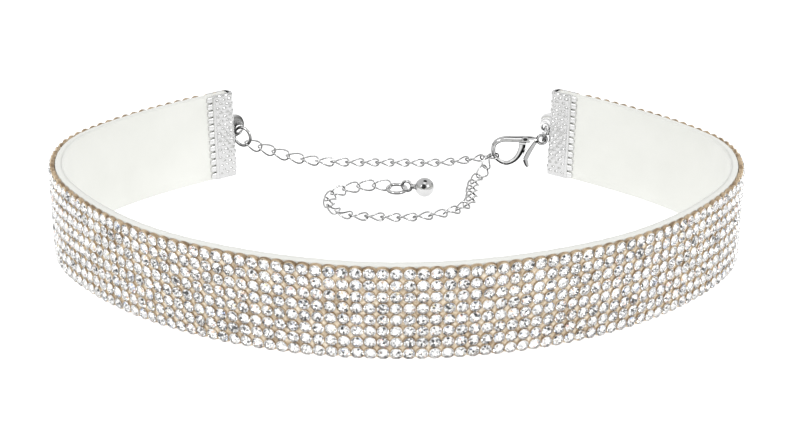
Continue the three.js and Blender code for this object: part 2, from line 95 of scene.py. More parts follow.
def wall_point(s, h, o):
    """Points of the wall, in mm."""
    s, h, o = np.broadcast_arrays(np.asarray(s, float), np.asarray(h, float), np.asarray(o, float))
    side = np.where(s < 0, -1.0, 1.0)
    x, y, heading = rest_point(np.abs(s))
    lean = lean_at(np.abs(s))
    out = h * np.sin(lean) + o * np.cos(lean)
    return np.stack(
        [
            side * (x + np.sin(heading) * out),
            y - np.cos(heading) * out,
            h * np.cos(lean) - o * np.sin(lean) * h / BAND_HEIGHT,
        ],
        -1,
    )


def wall_axes(s, h, o):
    """Points of the wall with three axes each: along it, up it and out of it."""
    step = 0.05
    centre = wall_point(s, h, o)
    along = unit(wall_point(s + step, h, o) - wall_point(s - step, h, o))
    rise = wall_point(s, h + step, o) - wall_point(s, h - step, o)
    rise = unit(rise - along * np.sum(rise * along, -1, keepdims=True))
    return centre, np.stack([along, rise, np.cross(along, rise)], 1)


# Shells, as pairs of points and faces, and the pieces made from them


def to_row(points):
    return (np.asarray(points, float) - ORIGIN) * MM


def turns(count, offset=0.0):
    """Angles that go once round in equal steps."""
    return 2 * math.pi * (np.arange(count) + offset) / count


def grid_faces(rows, cols, close_rows=False, close_cols=False, start=0):
    faces = []
    for i in range(rows if close_rows else rows - 1):
        a = start + i * cols
        b = start + ((i + 1) % rows) * cols
        for j in range(cols if close_cols else cols - 1):
            k = (j + 1) % cols
            faces.append((a + j, a + k, b + k, b + j))
    return faces


def tube_faces(rows, sides):
    """The skin and the two end caps of a tube."""
    faces = grid_faces(rows, sides, close_cols=True)
    faces.append(tuple(reversed(range(sides))))
    faces.append(tuple(range((rows - 1) * sides, rows * sides)))
    return faces


def inside_out(faces):
    return [tuple(reversed(face)) for face in faces]


def joined(shells):
    """One shell from several."""
    points, faces = [], []
    start = 0
    for shell_points, shell_faces in shells:
        points.append(np.asarray(shell_points, float))
        faces += [tuple(i + start for i in face) for face in shell_faces]
        start += len(shell_points)
    return np.concatenate(points), faces


def many(template, centres, axes):
    """One shell with a copy of the template at each centre, in its three axes."""
    points, faces = template
    moved = np.einsum("pk,nkc->npc", points, axes) + centres[:, None, :]
    copies = []
    for start in range(0, len(centres) * len(points), len(points)):
        copies.extend([tuple(i + start for i in face) for face in faces])
    return moved.reshape(-1, 3), copies


def wire(runs, normals, radius, sides=12):
    """Round wire along closed runs of points; each run lies square to its normal."""
    along = unit(np.roll(runs, -1, 1) - np.roll(runs, 1, 1))
    first = normals[:, None, :] - along * np.sum(along * normals[:, None, :], -1, keepdims=True)
    first = unit(first)
    second = np.cross(along, first)
    a = turns(sides)
    skin = (
        runs[:, :, None, :]
        + radius * np.cos(a)[:, None] * first[:, :, None, :]
        + radius * np.sin(a)[:, None] * second[:, :, None, :]
    )
    faces = []
    count, steps = runs.shape[:2]
    for n in range(count):
        faces += grid_faces(steps, sides, True, True, n * steps * sides)
    return skin.reshape(-1, 3), faces


def new_piece(
    name, shell, materials, nodes=(), body="choker", smooth=True, tones=None, kinds=None
):
    """A mesh from a shell in mm, riding on its body.

    Each face may have a tone, which its material reads, and a kind, its place in materials.
    """
    points, faces = shell
    mesh = bpy.data.meshes.new(name)
    mesh.from_pydata(to_row(points).tolist(), [], [tuple(int(i) for i in face) for face in faces])
    mesh.update()
    mesh.polygons.foreach_set("use_smooth", [smooth] * len(mesh.polygons))
    if tones is not None:
        layer = mesh.attributes.new("tone", "FLOAT", "FACE")
        layer.data.foreach_set("value", np.asarray(tones, np.float32))
    piece = bpy.data.objects.new(name, mesh)
    bpy.context.scene.collection.objects.link(piece)
    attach(piece, body)
    if nodes:
        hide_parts(*nodes)
    for material in materials:
        mesh.materials.append(material)
    if kinds is not None:
        mesh.polygons.foreach_set("material_index", np.asarray(kinds, np.int32))
    return piece


# Materials


def colour_ramp(tree, factor, stops):
    """A ramp through stops, each a place and its colour."""
    node = tree.nodes.new("ShaderNodeValToRGB")
    elements = node.color_ramp.elements
    while len(elements) < len(stops):
        elements.new(0.5)
    for element, (at, colour) in zip(elements, stops):
        element.position = at
        element.color = (*colour, 1)
    tree.links.new(factor, node.inputs["Fac"])
    return node.outputs["Color"]


def facing(tree, vector, direction):
    """How much a vector points along a direction, up to 1."""
    node = tree.nodes.new("ShaderNodeVectorMath")
    node.operation = "DOT_PRODUCT"
    node.inputs[1].default_value = direction
    tree.links.new(vector, node.inputs[0])
    return node.outputs["Value"]


def grey(value):
    return (value, value, value)


class Shader:
    """A Principled material with a few helpers for its nodes."""

    def __init__(self, name, **values):
        self.material = bpy.data.materials.new(name)
        self.material.use_nodes = True
        self.tree = self.material.node_tree
        self.surface = self.tree.nodes["Principled BSDF"]
        for key, value in values.items():
            self.surface.inputs[key.replace("_", " ")].default_value = value
        self.place = self.node("ShaderNodeTexCoord").outputs["Object"]

    def node(self, kind, **values):
        made = self.tree.nodes.new(kind)
        for key, value in values.items():
            setattr(made, key, value)
        return made

    def link(self, out, socket):
        self.tree.links.new(out, socket)

    def noise(self, scale, detail=3.0, roughness=0.55, stretch=None):
        node = self.node("ShaderNodeTexNoise")
        node.inputs["Scale"].default_value = scale
        node.inputs["Detail"].default_value = detail
        node.inputs["Roughness"].default_value = roughness
        place = self.place
        if stretch:
            mapping = self.node("ShaderNodeMapping")
            mapping.inputs["Scale"].default_value = stretch
            self.link(place, mapping.inputs["Vector"])
            place = mapping.outputs["Vector"]
        self.link(place, node.inputs["Vector"])
        return node.outputs["Fac"]

    def tone(self):
        return self.node("ShaderNodeAttribute", attribute_name="tone").outputs["Fac"]

    def paint(self, factor, stops):
        self.link(colour_ramp(self.tree, factor, stops), self.surface.inputs["Base Color"])

    def bump(self, height, distance, strength):
        node = self.node("ShaderNodeBump")
        node.inputs["Distance"].default_value = distance
        node.inputs["Strength"].default_value = strength
        self.link(height, node.inputs["Height"])
        self.link(node.outputs["Normal"], self.surface.inputs["Normal"])

    def roughen(self, factor, low, high):
        node = self.node("ShaderNodeMapRange")
        node.inputs["To Min"].default_value = low
        node.inputs["To Max"].default_value = high
        self.link(factor, node.inputs["Value"])
        self.link(node.outputs["Result"], self.surface.inputs["Roughness"])


def suede_material():
    shader = Shader(
        "suede", Roughness=0.95, Sheen_Weight=0.25, Sheen_Roughness=0.6, Specular_IOR_Level=0.15
    )
    shader.paint(shader.noise(90, detail=4), [(0.3, (0.68, 0.685, 0.65)), (0.7, (0.718, 0.723, 0.689))])
    shader.bump(shader.noise(5200, detail=4, roughness=0.7), distance=0.00006, strength=0.6)
    return shader.material


def ribbon_material(name, dark, plain, light):
    shader = Shader(name, Roughness=0.45, Specular_IOR_Level=0.4)
    shader.paint(shader.noise(900), [(0.32, dark), (0.5, plain), (0.68, light)])
    shader.bump(shader.noise(2600), distance=0.00004, strength=0.7)
    return shader.material


def cut_edge_material():
    shader = Shader("mesh_edge", Roughness=0.6)
    shader.paint(shader.noise(480), [(0.4, (0.2, 0.135, 0.075)), (0.6, (0.46, 0.35, 0.23))])
    shader.bump(shader.noise(3000, detail=2), distance=0.00003, strength=0.5)
    return shader.material


def crystal_material():
    """Clear glass, with painted flashes of coloured fire on a few facets, those with the highest tones."""
    shader = Shader("crystal", Roughness=0.0, IOR=1.5, Transmission_Weight=0.96)
    white, clear = (1.0, 1.0, 1.0), (1.0, 1.0, 0.99)
    # colours of the painted fire: light split by the stone, painted on as colour
    blue, orange, red, yellow = (0.45, 0.6, 1.0), (1.0, 0.62, 0.3), (1.0, 0.5, 0.45), (1.0, 0.9, 0.45)
    shader.paint(
        shader.tone(),
        [(0.0, white), (0.95, clear), (0.965, blue), (0.975, orange), (0.985, red), (1.0, yellow)],
    )
    return shader.material


def foil_material():
    """The silvering behind the stones, with painted dark reflections on the facets with the lowest tones.
    """
    shader = Shader("foil", Roughness=0.05, Metallic=0.9)
    shader.paint(
        shader.tone(),
        [
            (0.0, (0.02, 0.022, 0.025)),
            (0.08, (0.03, 0.032, 0.035)),
            (0.11, (0.5, 0.51, 0.53)),
            (0.16, grey(0.97)),
            (1.0, grey(0.99)),
        ],
    )
    return shader.material


def steel_material(name, roughness, tint, painted_shades=()):
    """Plated steel. Each painted shade is a direction, where it starts and is full, and the tone painted on
    the side that faces it, as a dark reflection.
    """
    shader = Shader(name, Metallic=1.0)
    wear = shader.noise(420, detail=4)
    colour = colour_ramp(shader.tree, wear, [(0.25, grey(0.9 * tint)), (0.75, grey(tint))])
    normal = shader.node("ShaderNodeTexCoord").outputs["Normal"]
    # painted shade: the metal is darkened on the sides that face each direction, in place of dark
    # reflections
    for direction, start, full, tone in painted_shades:
        share = shader.node("ShaderNodeMapRange")
        share.inputs["From Min"].default_value = start
        share.inputs["From Max"].default_value = full
        shader.link(facing(shader.tree, normal, direction), share.inputs["Value"])
        mix = shader.node("ShaderNodeMix", data_type="RGBA")
        shader.link(share.outputs["Result"], mix.inputs["Factor"])
        shader.link(colour, mix.inputs["A"])
        mix.inputs["B"].default_value = (*grey(tone), 1)
        colour = mix.outputs["Result"]
    shader.link(colour, shader.surface.inputs["Base Color"])
    shader.roughen(wear, *roughness)
    grain = shader.noise(1500, detail=2, roughness=0.5, stretch=(1, 1, 0.3))
    shader.bump(grain, distance=0.000012, strength=0.35)
    return shader.material


SUEDE = suede_material()
RIBBON = ribbon_material(
    "taupe_mesh", dark=(0.38, 0.28, 0.18), plain=(0.67, 0.56, 0.41), light=(0.9, 0.82, 0.69)
)
CUP = ribbon_material(
    "brown_cup", dark=(0.3, 0.2, 0.11), plain=(0.52, 0.4, 0.26), light=(0.76, 0.64, 0.46)
)
EDGE = cut_edge_material()
CRYSTAL = crystal_material()
FOIL = foil_material()
# chain, jump rings and the ball's neck and eye: their undersides carry a painted dark reflection
STEEL = steel_material("polished_steel", (0.04, 0.12), tint=0.57, painted_shades=[((0, 0, -1), -0.35, 0.1, 0.08)])
# the ball: its upper half is painted darker and a dark spot is painted where it faces front and up, both
# painted reflections
BRIGHT = steel_material(
    "bright_steel",
    (0.03, 0.1),
    tint=0.64,
    painted_shades=[((0, 0, 1), 0.2, 0.3, 0.45), ((-0.1, -0.9, 0.42), 0.955, 0.975, 0.04)],
)
# the clasp's casting and gate: the left side is painted grey and the sides facing down and down to the
# right are painted nearly black, as painted dark reflections
CAST = steel_material(
    "cast_steel",
    (0.05, 0.12),
    tint=0.6,
    painted_shades=[
        ((-0.95, -0.3, 0.1), 0.3, 0.8, 0.4),
        ((0, 0, -1), 0.1, 0.22, 0.012),
        ((0.75, 0, -0.66), 0.08, 0.2, 0.012),
    ],
)
# the clasp's cheeks: a much lighter copy of the clasp's steel, painted light
PLATE = steel_material("bright_plate", (0.05, 0.12), tint=0.95)
# the clasp's side bars, boss, end loop and thumb: a darker copy of the clasp's steel, painted shade, with a
# painted dark reflection on the sides that face left and down
SIDE = steel_material("side_steel", (0.05, 0.14), tint=0.4, painted_shades=[((-0.9, 0, -0.436), 0.15, 0.35, 0.03)])
# nearly black steel; on the inside of the crimps' fold it is painted shade
DARK = steel_material("dark_steel", (0.2, 0.35), tint=0.03)
# the crimps' ears: a lighter copy of the crimp steel, painted light, with painted shade on the faces that
# turn to the right, which darkens the left crimp's ear
EAR = steel_material("ear_steel", (0.1, 0.2), tint=0.8, painted_shades=[((0.98, 0, -0.2), 0.2, 0.7, 0.06)])
PRESSED = steel_material("pressed_steel", (0.16, 0.28), tint=0.64)
# the crimps' teeth and the leaves' edge walls: a lighter, rougher copy of the crimp steel, painted light
# against the shade there
TOOTH = steel_material("tooth_steel", (0.3, 0.45), tint=0.72)


# Lining

LINING_HALF = 149.6
LINING_STEPS = 300
LINING_INNER = -1.85
LINING_OUTER = -0.15
LINING_BEVEL = 0.1  # along the two lower edges
INNER_ROUND = 0.32
OUTER_ROUND = 0.18
FLAT_LOW, FLAT_HIGH = 2, 17  # heights between which the wall's two faces are flat
SEAM_AT, SEAM_HALF, SEAM_DEPTH = -1.4, 0.09, 0.16  # the groove along the top
TOP_ROWS = (-0.9, -0.6)


def lining_section():
    """The lining's outline as pairs of h and o, from its inner lower edge over the top."""
    section = [(0.0, LINING_INNER + LINING_BEVEL), (LINING_BEVEL, LINING_INNER)]
    section += [(h, LINING_INNER) for h in np.linspace(FLAT_LOW, FLAT_HIGH, 6)]
    for a in np.radians([0, 22, 45, 68, 90]):
        h = BAND_HEIGHT - INNER_ROUND + INNER_ROUND * math.sin(a)
        section.append((h, LINING_INNER + INNER_ROUND - INNER_ROUND * math.cos(a)))
    section += [
        (BAND_HEIGHT, SEAM_AT - SEAM_HALF),
        (BAND_HEIGHT - SEAM_DEPTH, SEAM_AT),
        (BAND_HEIGHT, SEAM_AT + SEAM_HALF),
    ]
    section += [(BAND_HEIGHT, o) for o in TOP_ROWS]
    for a in np.radians([0, 30, 60, 90]):
        h = BAND_HEIGHT - OUTER_ROUND + OUTER_ROUND * math.cos(a)
        section.append((h, LINING_OUTER - OUTER_ROUND + OUTER_ROUND * math.sin(a)))
    section += [(h, LINING_OUTER) for h in np.linspace(FLAT_HIGH, FLAT_LOW, 4)]
    return section + [(LINING_BEVEL, LINING_OUTER), (0.0, LINING_OUTER - LINING_BEVEL)]


def lining():
    """The soft strip, whose top edge is a little uneven."""
    h, o = np.array(lining_section()).T
    s = BAND_SLIDE + np.linspace(-LINING_HALF, LINING_HALF, LINING_STEPS + 1)
    waves = 0.03 * np.sin(s * 1.9 + 2 * np.sin(s * 0.31)) + 0.02 * np.sin(s * 4.7)
    high = np.where(h > BAND_HEIGHT - 1, h + waves[:, None] - 0.03, h)
    points = wall_point(s[:, None], high, np.broadcast_to(o, high.shape))
    shell = points.reshape(-1, 3), tube_faces(len(s), len(h))
    new_piece("suede_lining", shell, [SUEDE], ["suede_band"])


# Stones and the ribbon that holds them

COLUMNS = 124
ROWS = 8
MESH_HALF = 143.85
COLUMN_PITCH = 2 * MESH_HALF / COLUMNS
ROW_PITCH = BAND_HEIGHT / ROWS

# A stone's radius and height at its table, its kites' corners, its girdle and its cone's facets
TABLE, TABLE_AT = 0.6, 0.88
KITE, KITE_AT = 0.88, 0.72
GIRDLE, GIRDLE_TOP, GIRDLE_BOTTOM = 1.125, 0.52, 0.46
LOWER, LOWER_AT = 0.5, -0.09
CULET_AT = -0.2
STONE_AT = 0.35  # where a stone's own origin lies, outwards from the mesh
STONE_SHIFT = 0.02
STONE_TILT = 0.045
TABLE_TONE = 0.96  # keeps nearly all of the tables free of painted fire
TIP_TONE = 0.56  # makes more of the facets at the tip carry a painted dark reflection
CONE_TONE = 0.03  # makes fewer of the cone's other facets carry a painted dark reflection

CUP_RADIUS = 1.158
CUP_PROFILE = [(1.155, 0.4), (CUP_RADIUS, 0.58), (CUP_RADIUS, 0.78), (1.152, 0.84), (1.12, 0.86)]
CUP_SIDES = 16

WEB_STEPS = 14  # for each column of stones
WEB_FOOT, WEB_SHOULDER, WEB_CREST = 0.2, 0.54, 0.6  # outwards from the mesh
WEB_LOWER_LIP, WEB_UPPER_LIP = 0.52, 0.3  # the same along the mesh's two edges
BACKING_STEPS = 8
BACKING_FRONT = 0.1
BACKING_GRIPPED = (-0.14, -0.03)  # its back and front under the crimps
BACKING_DROP = 0.02  # how much lower than the band it is
BACKING_UNDER = 2.5  # columns of bare mesh under each crimp
DIP_DEPTH = 0.55  # how far the mesh's upper edge dips between two stones
DIP_POWER = 0.6
LOWER_DIP = 0.55  # the lower edge's share of that dip


def stone_places():
    i, j = np.meshgrid(np.arange(COLUMNS), np.arange(ROWS), indexing="ij")
    s = BAND_SLIDE - MESH_HALF + (i.ravel() + 0.5) * COLUMN_PITCH
    h = (j.ravel() + 0.5) * ROW_PITCH
    return s, h


def turned_axes(axes, spin, tilt_x, tilt_y):
    """Each set of three axes turned about its own third axis, then tilted a little."""
    c, s = np.cos(spin)[:, None], np.sin(spin)[:, None]
    first = axes[:, 0] * c + axes[:, 1] * s
    out = unit(axes[:, 2] + axes[:, 0] * tilt_x[:, None] + axes[:, 1] * tilt_y[:, None])
    first = unit(first - out * np.sum(first * out, -1, keepdims=True))
    return np.stack([first, np.cross(out, first), out], 1)


def taller(axes, rise):
    """Axes stretched up the wall, as the rows are further apart than the columns."""
    return axes + (ROW_PITCH / COLUMN_PITCH - 1) * np.sum(axes * rise, -1, keepdims=True) * rise


def stone_circle(count, radius, at, offset=0.0):
    a = turns(count, offset)
    return np.stack([radius * np.cos(a), radius * np.sin(a), np.full(count, at)], 1)


def stone_template():
    """A round cut stone: table, 8 kites, 24 other upper facets, girdle and a foiled cone of 32 facets.

    The third value is the number of the cone's first face.
    """
    rings = [
        stone_circle(8, TABLE, TABLE_AT, 0.5),
        stone_circle(8, KITE, KITE_AT),
        stone_circle(16, GIRDLE, GIRDLE_TOP),
        stone_circle(16, GIRDLE, GIRDLE_BOTTOM),
        stone_circle(8, LOWER, LOWER_AT, 0.5),
        np.array([[0, 0, CULET_AT]]),
    ]
    table, kite, top, bottom, lower, tip = np.cumsum([0] + [len(ring) for ring in rings[:-1]])
    faces = [tuple(range(8))]
    for k in range(8):
        after, before = (k + 1) % 8, (k - 1) % 8
        faces.append((table + before, kite + k, table + k))
        faces.append((kite + k, top + 2 * k + 1, kite + after, table + k))
    for k in range(8):
        faces.append((kite + k, top + 2 * k, top + 2 * k + 1))
        faces.append((kite + k, top + (2 * k - 1) % 16, top + 2 * k))
    for k in range(16):
        after = (k + 1) % 16
        faces.append((top + k, bottom + k, bottom + after, top + after))
    cone = len(faces)
    for k in range(8):
        after, before = (k + 1) % 8, (k - 1) % 8
        faces.append((bottom + 2 * k, lower + before, lower + k))
        faces.append((bottom + 2 * k, lower + k, bottom + 2 * k + 1))
        faces.append((bottom + 2 * k + 1, lower + k, bottom + (2 * k + 2) % 16))
        faces.append((lower + k, tip, lower + after))
    return np.concatenate(rings), faces, cone


def stones():
    s, h = stone_places()
    count = len(s)
    s = s + rng.uniform(-STONE_SHIFT, STONE_SHIFT, count)
    h = h + rng.uniform(-STONE_SHIFT, STONE_SHIFT, count)
    centres, axes = wall_axes(s, h, STONE_AT)
    spin = rng.uniform(0, 2 * math.pi, count)
    tilt_x = rng.normal(0, STONE_TILT, count)
    tilt_y = rng.normal(0, STONE_TILT, count)
    points, faces, cone = stone_template()
    axes = taller(turned_axes(axes, spin, tilt_x, tilt_y), axes[:, 1:2])
    shell = many((points, faces), centres, axes)
    facet = np.tile(np.arange(len(faces)), count)
    foiled = facet >= cone
    tip = foiled & ((facet - cone) % 4 == 3)
    # Tones: the highest paint fire on the glass, and the lowest paint dark reflections on the foil
    tones = rng.uniform(0, 1, len(facet))
    tones[facet == 0] *= TABLE_TONE
    tones[tip] *= TIP_TONE
    tones[foiled & ~tip] = CONE_TONE + (1 - CONE_TONE) * tones[foiled & ~tip]
    materials = [CRYSTAL, FOIL]
    new_piece(
        "crystals", shell, materials, ["stone_mesh"], smooth=False, tones=tones, kinds=foiled
    )


def cups():
    """The little cup that grips each stone's edge. The top row's have a dark foot."""
    s, h = stone_places()
    centres, axes = wall_axes(s, h, 0.0)
    rings = [[(r * math.cos(a), r * math.sin(a), z) for a in turns(CUP_SIDES)] for r, z in CUP_PROFILE]
    faces = grid_faces(len(CUP_PROFILE), CUP_SIDES, close_cols=True)
    shell = many((np.array(rings).reshape(-1, 3), faces), centres, taller(axes, axes[:, 1:2]))
    face = np.arange(len(shell[1]))
    dark = (face // len(faces) % ROWS == ROWS - 1) & (face % len(faces) < CUP_SIDES)
    new_piece("stone_cups", shell, [CUP, EDGE], ["stone_mesh"], kinds=dark)


def mesh_stations(steps, beyond=0):
    """Places along the mesh, counted in columns from its left end, and the s of each."""
    phase = np.arange(-beyond * steps, (COLUMNS + beyond) * steps + 1) / steps
    return phase, BAND_SLIDE - MESH_HALF + phase * COLUMN_PITCH


def edge_dip(phase):
    """How far the mesh's upper edge dips between two stones, in mm."""
    return DIP_DEPTH * (1 - np.abs(np.sin(math.pi * phase)) ** DIP_POWER)


def webs():
    """The mesh between the rows of stones, and along its two edges, one strip for each."""
    phase, s = mesh_stations(WEB_STEPS)
    from_gap = np.abs(phase - np.round(phase))  # share of a column from the gap between two stones
    stone = CUP_RADIUS / COLUMN_PITCH
    reach = np.sqrt(np.maximum(stone**2 - (0.5 - from_gap) ** 2, 0))  # half height of the stone there
    inside = 0.5 - reach
    dip = edge_dip(phase) / ROW_PITCH
    strips, kinds = [], []
    for row in range(ROWS + 1):
        low = -inside if row > 0 else LOWER_DIP * dip
        high = inside if row < ROWS else -dip
        levels = [
            (low, WEB_FOOT),
            (low, WEB_SHOULDER),
            ((low + high) / 2, WEB_CREST),
            (high, WEB_SHOULDER),
            (high, WEB_FOOT),
        ]
        dark = []
        if row == 0:
            levels[:2] = [(low, 0.0), (low, WEB_LOWER_LIP)]
            dark = [0]
        if row == ROWS:
            levels[3:] = [(high, WEB_UPPER_LIP), (high, 0.0)]
            dark = [2, 3]
        points = np.stack([wall_point(s, (row + h) * ROW_PITCH, o) for h, o in levels], 1)
        faces = inside_out(grid_faces(len(s), len(levels)))
        strips.append((points.reshape(-1, 3), faces))
        kinds.append(np.isin(np.arange(len(faces)) % (len(levels) - 1), dark))
    kinds = np.concatenate(kinds)
    new_piece(
        "mesh_webs", joined(strips), [RIBBON, EDGE], ["stone_mesh"], smooth=False, kinds=kinds
    )


def backing():
    """The mesh sheet under the stones, with an edge that goes round each stone."""
    phase, s = mesh_stations(BACKING_STEPS, BACKING_UNDER)
    top = BAND_HEIGHT - BACKING_DROP - edge_dip(phase)
    low = LOWER_DIP * edge_dip(phase)
    gripped = (phase < 0) | (phase > COLUMNS)
    back = np.where(gripped, BACKING_GRIPPED[0], 0.0)
    front = np.where(gripped, BACKING_GRIPPED[1], BACKING_FRONT)
    section = [(low, back), (top, back), (top, front), (low, front)]
    points = np.stack([wall_point(s, h, o) for h, o in section], 1)
    faces = inside_out(tube_faces(len(s), len(section)))
    on_top = np.zeros(len(faces), bool)
    on_top[1 : (len(s) - 1) * len(section) : len(section)] = True
    shell = points.reshape(-1, 3), faces
    new_piece(
        "mesh_backing", shell, [RIBBON, EDGE], ["stone_mesh"], smooth=False, kinds=on_top
    )


# Crimps: x runs past the ribbon's end, y up the wall and z outwards

SHEET = 0.5
CRIMP_HEIGHT = 19.05
CRIMP_LIFT = 0.1
CRIMP_ROWS = 150
CRIMP_STEP = 0.13
CRIMP_INNER = -2.5
CRIMP_OUTER = 0.5
FOLD_RADIUS = 0.9
HOLLOW_DEPTH = 1.6  # how much of the fold's inside is painted dark as shade
LEAF_WIDTH = 5.55
RIDGE_AT, RIDGE_HALF, RIDGE_RISE = 0.42, 0.34, 0.3  # the smooth ridge along each leaf's edge
PANEL_AT, PANEL_RISE = 0.85, 0.06  # the field of pebbles, from a groove beside the ridge
PANEL_SLOPE, END_SLOPE = 0.15, 0.35  # how far the field takes to rise
PEBBLE_MARGIN = 0.9
PEBBLE_PITCH, PEBBLE_ROW_PITCH = 1.6, 0.93
PEBBLE_START = 1.35
PEBBLE_SHIFT_X, PEBBLE_SHIFT_Y = 0.16, 0.14
PEBBLE_RADIUS = (0.46, 0.62)
PEBBLE_RISE = (0.12, 0.2)
TEETH = 12
TOOTH_REACH = 6.7
TOOTH_ROOT = 0.3  # how far a tooth starts under the leaf
TOOTH_HALF = 0.68
TOOTH_STEPS = 6
TOOTH_SIDES = 12
EAR_MIDDLE = -1.0
EAR_SIDES = 48
EAR_RIM = (0.5, 11, 2.6)  # x, y and radius
EAR_HOLE = (1.6, 10.1, 0.8)
# Shares of the way from the ear's hole to its rim, and its half thickness there
EAR_PROFILE = [
    (0, 0), (0, 0.12), (0.06, 0.22), (0.2, 0.3), (0.5, 0.42), (0.8, 0.36), (0.94, 0.22), (1, 0.08),
]
LEAF_KIND, EAR_KIND, HOLLOW_KIND, TOOTH_KIND = range(4)


def end_point(end, x, y, z):
    """Points at the ribbon's left end, where end is -1, or its right end, where it is 1."""
    return wall_point(BAND_SLIDE + end * (HALF_LENGTH + np.asarray(x, float)), y, z)


def fold_corner(degrees, middle, side):
    """The round corner from a leaf to the fold's back, about a middle z."""
    corner = []
    for a in np.radians(degrees):
        x = -FOLD_RADIUS + FOLD_RADIUS * math.sin(a)
        corner.append((x, middle + side * FOLD_RADIUS * math.cos(a), math.sin(a), side * math.cos(a)))
    return corner


def crimp_path():
    """The crimp's outer skin from one leaf's edge round the fold to the other: x, z and normal."""
    flat = np.arange(-LEAF_WIDTH, -FOLD_RADIUS, CRIMP_STEP)
    inner, outer = CRIMP_INNER + FOLD_RADIUS, CRIMP_OUTER - FOLD_RADIUS
    path = [(x, CRIMP_INNER, 0.0, -1.0) for x in flat]
    path += fold_corner(np.linspace(0, 90, 8), inner, -1)
    path += [(0.0, z, 1.0, 0.0) for z in np.linspace(inner, outer, 10)[1:-1]]
    path += fold_corner(np.linspace(90, 0, 8), outer, 1)
    path += [(x, CRIMP_OUTER, 0.0, 1.0) for x in flat[::-1]]
    return np.array(path)


def crimp_pebbles(length):
    """Pebbles in staggered rows: place along the path, height, radius and rise of each."""
    pebbles = []
    for i, y in enumerate(np.arange(PEBBLE_MARGIN, CRIMP_HEIGHT, PEBBLE_ROW_PITCH)):
        first = PEBBLE_START + PEBBLE_PITCH / 2 * (i % 2)
        for x in np.arange(first, length - PEBBLE_MARGIN, PEBBLE_PITCH):
            shift_x = rng.uniform(-PEBBLE_SHIFT_X, PEBBLE_SHIFT_X)
            shift_y = rng.uniform(-PEBBLE_SHIFT_Y, PEBBLE_SHIFT_Y)
            radius = rng.uniform(*PEBBLE_RADIUS)
            pebbles.append((x + shift_x, y + shift_y, radius, rng.uniform(*PEBBLE_RISE)))
    return pebbles


def crimp_relief(run, y):
    """Height of the pressed pattern: a field of pebbles, and a groove and a smooth ridge round it."""
    x = run[None, :]
    y = y[:, None]
    height = np.zeros((y.shape[0], x.shape[1]))
    for pebble_x, pebble_y, radius, rise in crimp_pebbles(run[-1]):
        share = ((x - pebble_x) ** 2 + (y - pebble_y) ** 2) / radius**2
        height = np.maximum(height, rise * np.clip(1 - share, 0, 1) ** 0.8)
    from_edge = np.minimum(x - x.min(), x.max() - x)
    panel = np.clip((from_edge - PANEL_AT) / PANEL_SLOPE, 0, 1)
    ends = np.clip(np.minimum(y - CRIMP_LIFT, CRIMP_LIFT + CRIMP_HEIGHT - y) / END_SLOPE, 0, 1)
    ridge = RIDGE_RISE * np.sqrt(np.clip(1 - ((from_edge - RIDGE_AT) / RIDGE_HALF) ** 2, 0, 1))
    pressed = height * panel * ends + PANEL_RISE * panel * ends + ridge * np.minimum(ends + 0.4, 1)
    return pressed - PANEL_RISE


def crimp_leaves(end):
    """The folded sheet and the kind of each of its faces.

    A row of its grid goes along the skin and comes back along the inside.
    """
    x, z, out_x, out_z = crimp_path().T
    run = np.concatenate([[0], np.cumsum(np.hypot(np.diff(x), np.diff(z)))])
    y = np.linspace(CRIMP_LIFT, CRIMP_LIFT + CRIMP_HEIGHT, CRIMP_ROWS)[:, None]
    relief = crimp_relief(run, y[:, 0])
    skin = end_point(end, x + out_x * relief, y, z + out_z * relief)
    inside_x = np.minimum(x - out_x * SHEET, -SHEET)
    inside_z = np.clip(z - out_z * SHEET, CRIMP_INNER + SHEET, CRIMP_OUTER - SHEET)
    inside = end_point(end, inside_x, y, inside_z)
    points = np.concatenate([skin, inside[:, ::-1]], 1)
    cols = len(x)
    size = 2 * cols
    faces = grid_faces(CRIMP_ROWS, size, close_cols=True)
    kinds = np.full(len(faces) + 2 * (cols - 1), LEAF_KIND)
    column = np.arange(len(faces)) % size
    # the inside of the fold near its back is painted nearly black, as shade
    hollow = (column >= cols) & (x[np.minimum(size - 1 - column, cols - 1)] > -HOLLOW_DEPTH)
    # the leaves' edge walls take the lighter tooth steel, painted light
    leaf_edge = (column == cols - 1) | (column == size - 1)
    kinds[: len(faces)][hollow] = HOLLOW_KIND
    kinds[: len(faces)][leaf_edge] = TOOTH_KIND
    last = (CRIMP_ROWS - 1) * size
    for k in range(cols - 1):
        mirror, mirror_next = size - 1 - k, size - 2 - k
        faces.append((mirror, mirror_next, k + 1, k))
        faces.append((last + k, last + k + 1, last + mirror_next, last + mirror))
    return (points.reshape(-1, 3), faces), kinds


def crimp_tooth(end, middle, level, outward):
    """One tooth past the edge of the leaf at z level; it narrows, thins and bends inwards."""
    around = turns(TOOTH_SIDES)
    sections = []
    for t in np.linspace(0, 1, TOOTH_STEPS):
        x = -LEAF_WIDTH + TOOTH_ROOT - (TOOTH_REACH - LEAF_WIDTH + TOOTH_ROOT) * t
        half = TOOTH_HALF * (1 - 0.25 * t**2)
        thick = SHEET * (0.8 - 0.3 * t)
        drop = 0.04 + 0.06 * t + 0.16 * t * t
        base = level - outward * (SHEET / 2 + drop)
        z = base + outward * thick / 2 * np.sin(around) * 1.1
        sections.append(end_point(end, x, middle + half * np.cos(around), z))
    faces = grid_faces(TOOTH_STEPS, TOOTH_SIDES, close_cols=True)
    faces.append(tuple(range((TOOTH_STEPS - 1) * TOOTH_SIDES, TOOTH_STEPS * TOOTH_SIDES)))
    return np.concatenate(sections), inside_out(faces) if outward > 0 else faces


